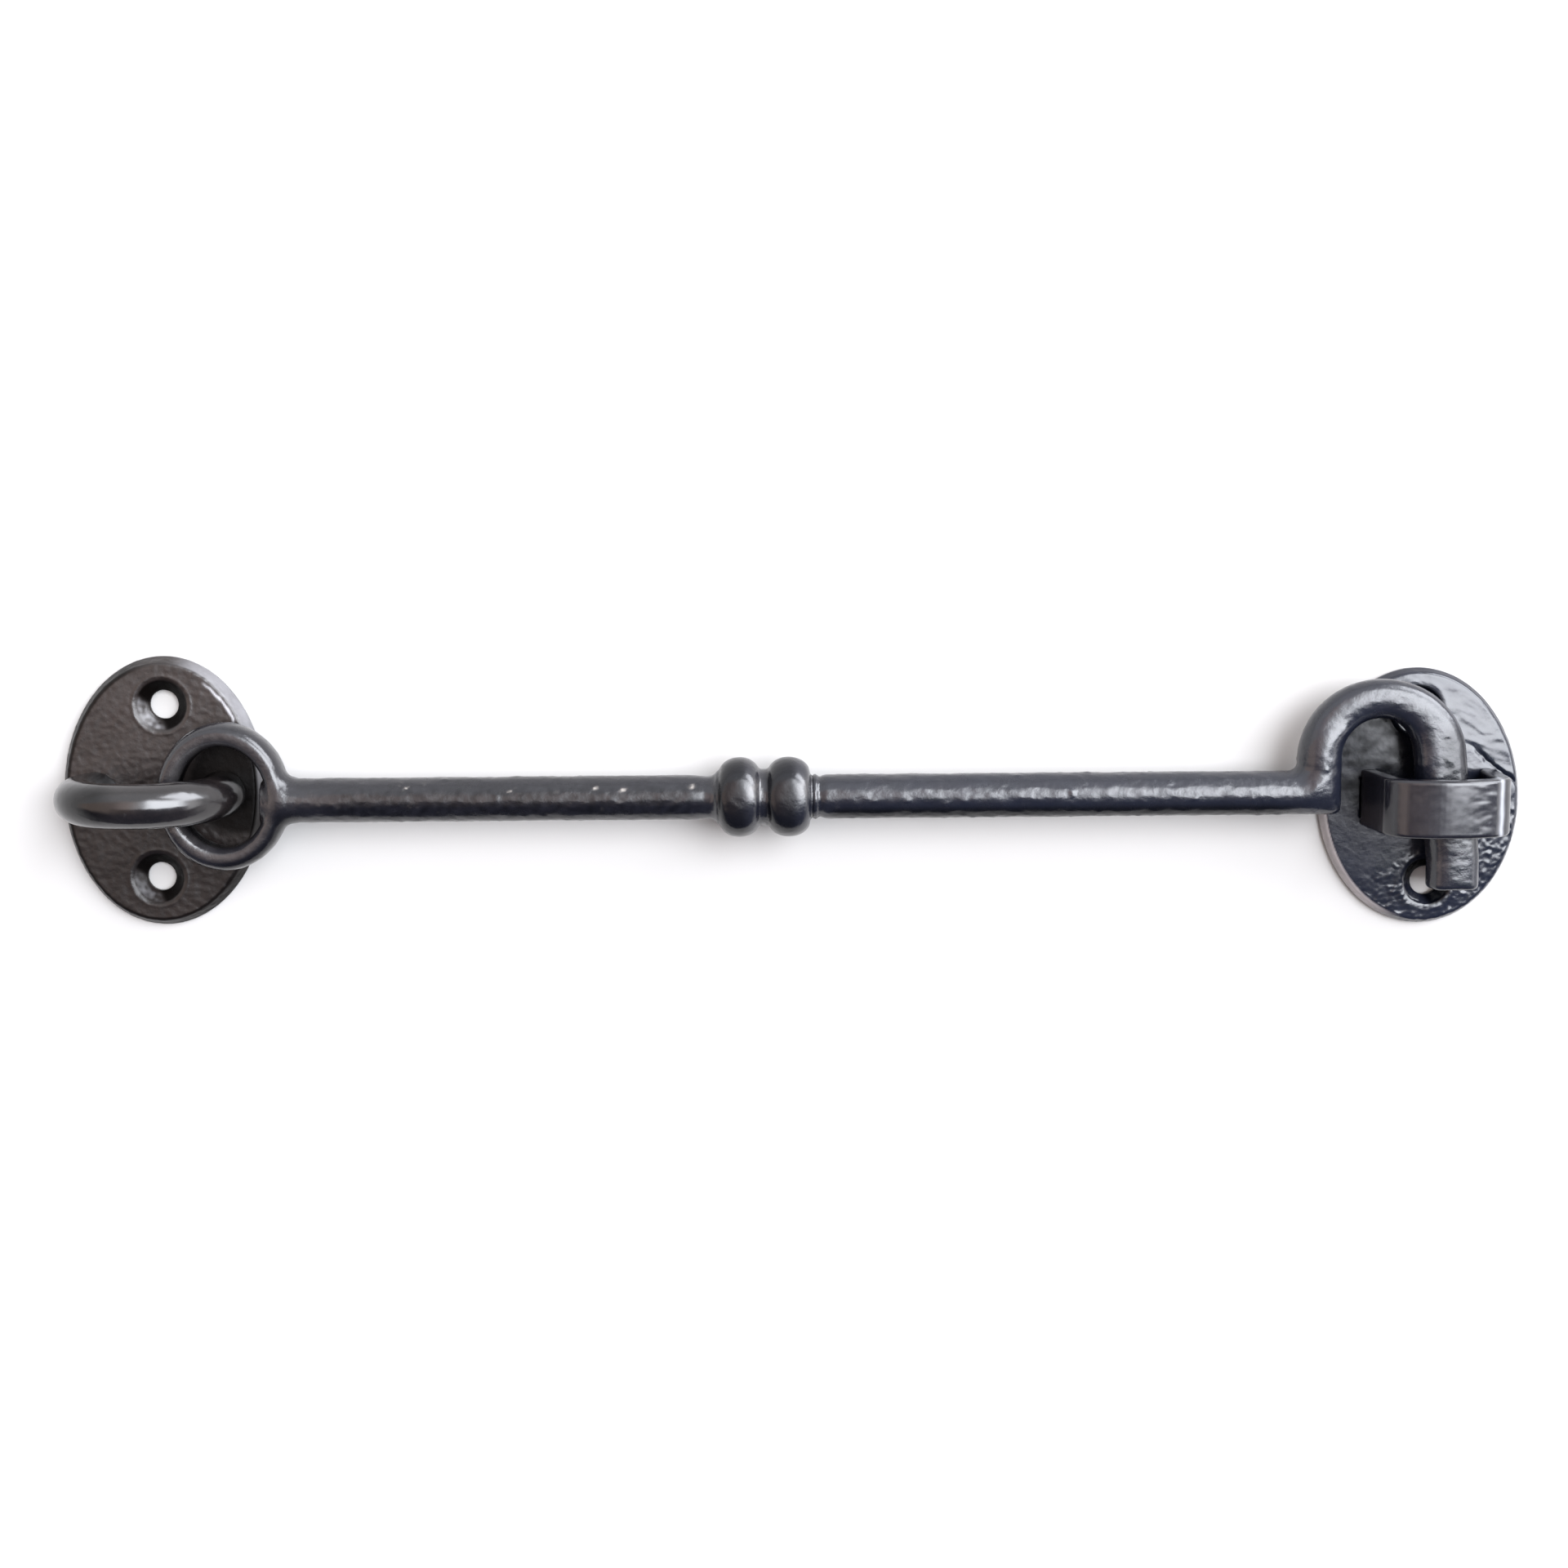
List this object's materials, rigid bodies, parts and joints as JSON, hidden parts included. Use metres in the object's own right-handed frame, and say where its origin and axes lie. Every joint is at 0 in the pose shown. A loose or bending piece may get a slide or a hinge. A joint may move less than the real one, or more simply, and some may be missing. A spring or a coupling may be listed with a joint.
{
  "type": "casement window stay",
  "caption": "Black cabin-hook window stay: an eye-ended bar with a turned double bead, hinged on a staple plate and hooked into a keeper plate.",
  "frame": {"origin": "on the hinge plate's back face, midway between the feet of its staple", "axes": "+X along the arm from the hinge plate to the receiver plate, +Y up along the plates, +Z out of the plates, away from the wall, sill or bench they lie on"},
  "size_m": [0.2495, 0.0477, 0.0233],
  "materials": {
    "hinge_plate_paint": "satin",
    "staple_paint": "gloss",
    "arm_paint": "satin",
    "receiver_plate_paint": "gloss",
    "strap_paint": "gloss"
  },
  "bodies": {
    "hinge_fixing": {"hinge_backplate": "hinge_plate_paint", "hinge_staple": "staple_paint"},
    "arm": {"stay_arm": "arm_paint"},
    "receiver": {"receiver_backplate": "receiver_plate_paint", "receiver_strap": "strap_paint"}
  },
  "joints": [
    {"name": "arm_swing", "type": "hinge", "parent": "hinge_fixing", "child": "arm", "pos_m": [0.0124, 0, 0.0078], "axis": [0, 0, 1], "range_deg": [-2.4, 158]},
    {"name": "receiver_lift_off", "type": "slide", "parent": "hinge_fixing", "child": "receiver", "axis": [0, -1, 0], "range_m": [0, 0.06]}
  ]
}
